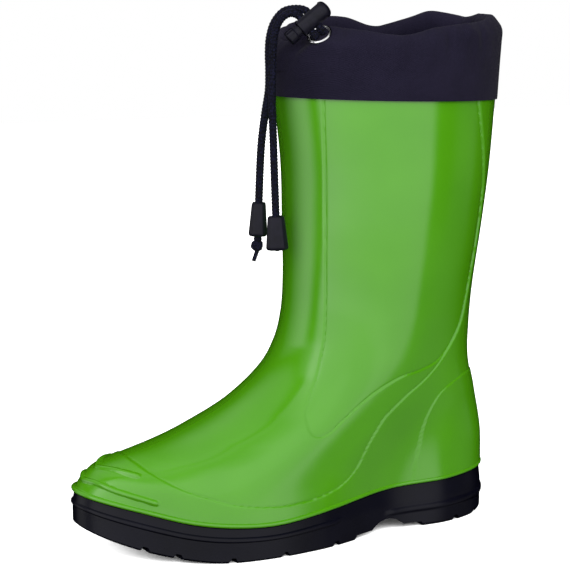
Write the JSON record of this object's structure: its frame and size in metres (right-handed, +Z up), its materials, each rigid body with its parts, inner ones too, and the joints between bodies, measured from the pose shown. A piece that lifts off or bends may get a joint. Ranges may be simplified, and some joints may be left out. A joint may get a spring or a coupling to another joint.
{
  "type": "rubber rain boot",
  "caption": "Child's glossy moulded rain boot, left foot, with a treaded outsole, a woven drawstring cuff, a spring cord lock and two sliding cord ends.",
  "frame": {"origin": "under the middle of the boot's outline (measured without the free drawstring and its lock), on the surface that the tread stands on", "axes": "+Z up the shaft, -X towards the toe, +X towards the heel, -Y towards the outer (lateral) side of this left boot"},
  "size_m": [0.2452, 0.1074, 0.2807],
  "materials": {
    "upper_pvc": "high gloss",
    "outsole_pvc": "satin",
    "lining_cloth": "knitted",
    "insole_foam": "matt",
    "cuff_cloth": "plain weave",
    "cord": "braided",
    "lock_plastic": "satin",
    "nickel": "polished",
    "spring_steel": "bright"
  },
  "bodies": {
    "root": {"outsole": "outsole_pvc", "upper_shell": "upper_pvc", "textile_lining": "lining_cloth", "insole_foam": "insole_foam", "insole_cover": "lining_cloth", "eyelet": "nickel", "eyelet_washer": "nickel", "cuff": "cuff_cloth", "drawstring_tunnel": "cord", "drawstring_lead_a": "cord", "drawstring_lead_b": "cord"},
    "cord_lock": {"lock_barrel": "lock_plastic", "lock_spring": "spring_steel", "drawstring_end_a": "cord", "drawstring_end_b": "cord", "cord_knot_a": "cord", "cord_knot_b": "cord"},
    "plunger": {"lock_plunger": "lock_plastic"},
    "bell_a": {"cord_bell_a": "lock_plastic"},
    "bell_b": {"cord_bell_b": "lock_plastic"}
  },
  "joints": [
    {"name": "drawstring_pull", "type": "slide", "parent": "root", "child": "cord_lock", "axis": [-0.5327, 0.3948, 0.7486], "range_m": [0, 0.02]},
    {"name": "plunger_press", "type": "slide", "parent": "cord_lock", "child": "plunger", "axis": [0.734, -0.2248, 0.6409], "range_m": [0, 0.0025], "stiffness_N_per_m": 400, "springref_m": -0.002, "deforming": ["lock_spring"]},
    {"name": "bell_a_slide", "type": "slide", "parent": "cord_lock", "child": "bell_a", "axis": [0.0266, -0.0133, 0.9996], "range_m": [-0.009, 0.015]},
    {"name": "bell_b_slide", "type": "slide", "parent": "cord_lock", "child": "bell_b", "axis": [-0.0499, -0.0083, 0.9987], "range_m": [0, 0.02]}
  ]
}
